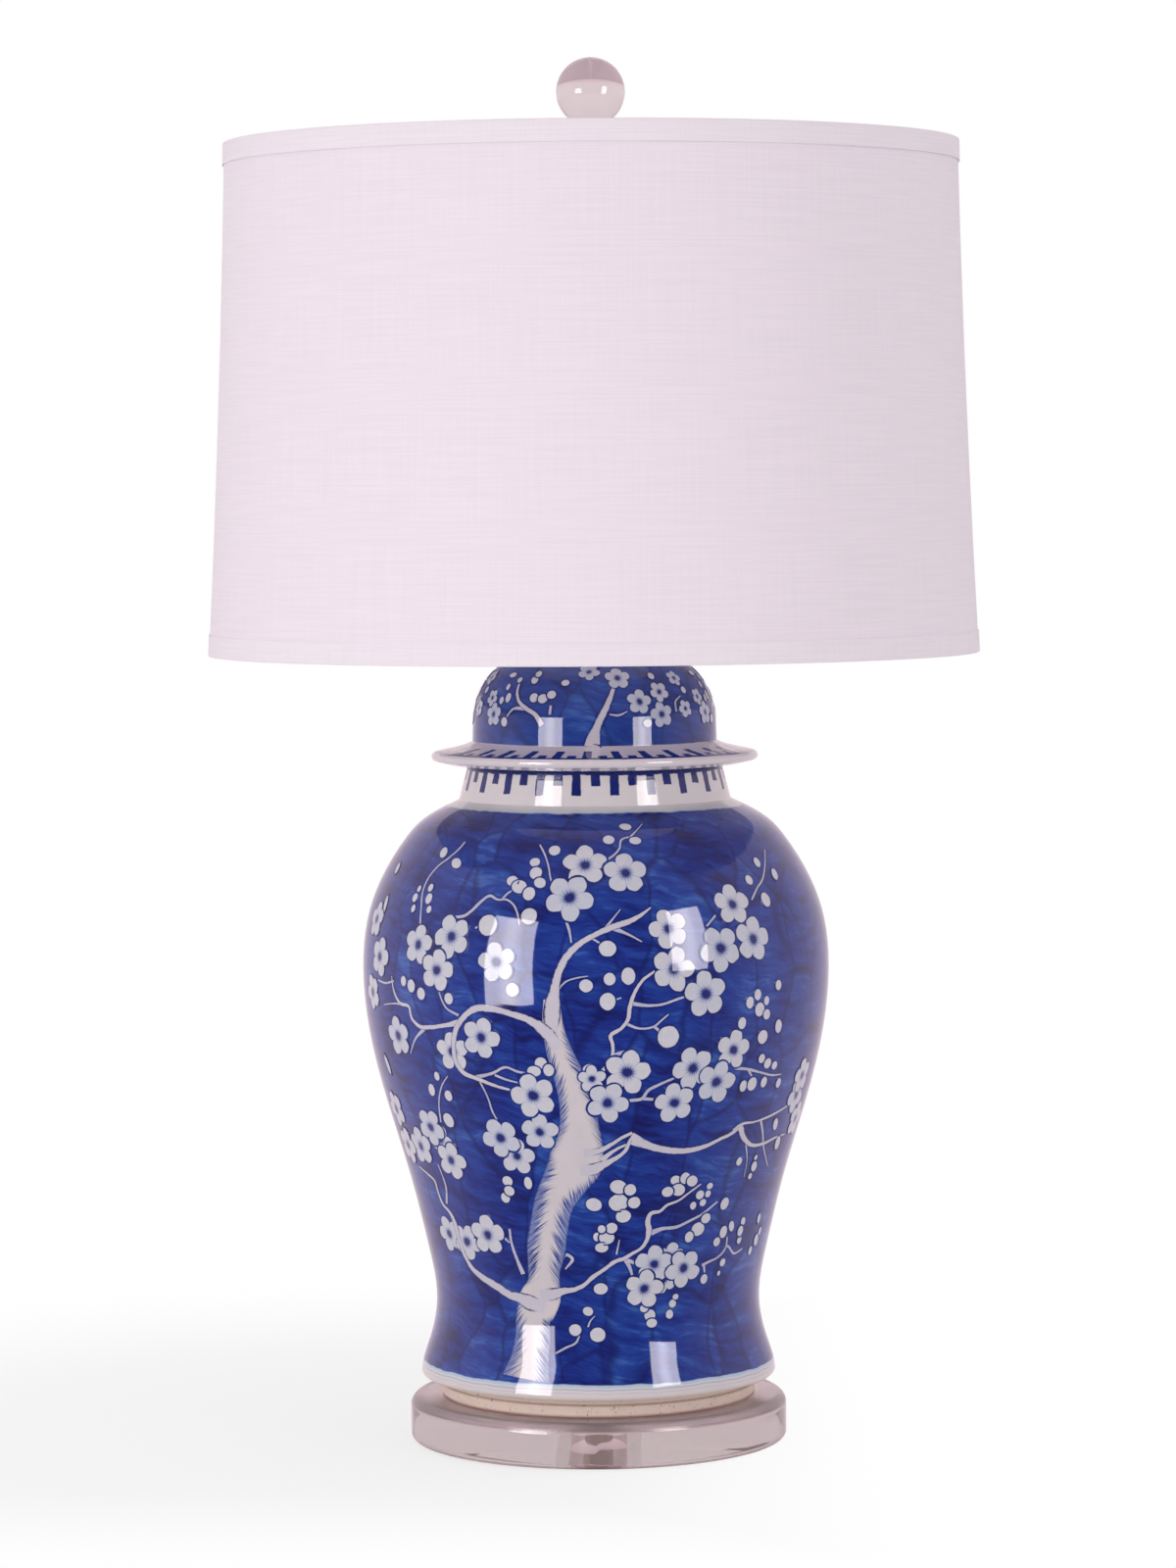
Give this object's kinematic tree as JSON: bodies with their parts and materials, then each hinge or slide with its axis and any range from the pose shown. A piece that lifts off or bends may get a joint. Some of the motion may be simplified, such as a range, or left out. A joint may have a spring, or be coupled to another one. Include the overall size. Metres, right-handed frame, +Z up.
{
  "type": "ginger jar table lamp",
  "caption": "Lidded baluster jar table lamp on a clear disc foot, with a turn-key lampholder, lift-off harp, tapered drum shade and ball finial.",
  "frame": {"origin": "middle of the lamp's footprint, on the table under the bumper pads", "axes": "+Z up the lamp pipe; -Y to the front, where the turn key points; the lead leaves towards +Y"},
  "size_m": [0.4319, 0.4318, 0.7753],
  "materials": {
    "clear_acrylic": "polished clear acrylic with a faint warm tint",
    "clear_rubber": "soft clear bumper pads",
    "painted_porcelain": "white porcelain painted in cobalt under a clear glaze",
    "brass": "lacquered brass, satin",
    "zinc_steel": "zinc-plated steel",
    "plated_wire": "brass-plated spring wire",
    "phenolic": "black phenolic moulding",
    "card": "fibre card sleeve",
    "white_wire": "white enamelled steel wire",
    "styrene": "white styrene lining",
    "linen": "off-white linen, plain weave"
  },
  "bodies": {
    "root": {"bumper_pads": "clear_rubber", "acrylic_base": "clear_acrylic", "lead_gland": "clear_acrylic", "clamp_washer": "zinc_steel", "clamp_nut": "brass", "lamp_pipe": "brass", "porcelain_jar": "painted_porcelain", "porcelain_lid": "painted_porcelain", "vase_cap": "brass", "brass_neck": "brass", "harp_saddle": "plated_wire", "holder_cap": "brass", "cap_grub_screw": "zinc_steel", "holder_shell": "brass", "shell_liner": "card", "holder_block": "phenolic", "terminal_screws": "brass", "screw_shell": "brass", "centre_contact": "brass"},
    "turn_key": {"key_shaft": "brass", "key_knob": "phenolic"},
    "harp": {"harp_bow": "plated_wire", "harp_bridge": "plated_wire"},
    "ferrule_left": {"ferrule_left": "brass"},
    "ferrule_right": {"ferrule_right": "brass"},
    "shade_stud": {"harp_stud": "brass"},
    "shade": {"spider_hub": "white_wire", "spider_arms": "white_wire", "top_ring": "white_wire", "bottom_ring": "white_wire", "shade_liner": "styrene", "shade_cloth": "linen", "top_hem": "linen", "bottom_hem": "linen"},
    "finial": {"finial_base": "brass", "finial_ball": "clear_acrylic"}
  },
  "joints": [
    {"name": "key_turn", "type": "hinge", "parent": "root", "child": "turn_key", "pos_m": [0, 0, 0.504], "axis": [0, 1, 0], "continuous": true},
    {"name": "harp_lift", "type": "slide", "parent": "root", "child": "harp", "axis": [0, 0, 1], "range_m": [0, 0.03]},
    {"name": "ferrule_left_slide", "type": "slide", "parent": "harp", "child": "ferrule_left", "axis": [0, 0, 1], "range_m": [0, 0.0135]},
    {"name": "ferrule_right_slide", "type": "slide", "parent": "harp", "child": "ferrule_right", "axis": [0, 0, 1], "range_m": [0, 0.0135]},
    {"name": "shade_swivel", "type": "hinge", "parent": "harp", "child": "shade_stud", "pos_m": [0, 0, 0.715], "axis": [0, 0, 1], "continuous": true},
    {"name": "shade_lift", "type": "slide", "parent": "shade_stud", "child": "shade", "axis": [0, 0, 1], "range_m": [0, 0.3]},
    {"name": "finial_turn", "type": "hinge", "parent": "shade", "child": "finial", "pos_m": [0, 0, 0.73], "axis": [0, 0, 1], "continuous": true}
  ]
}
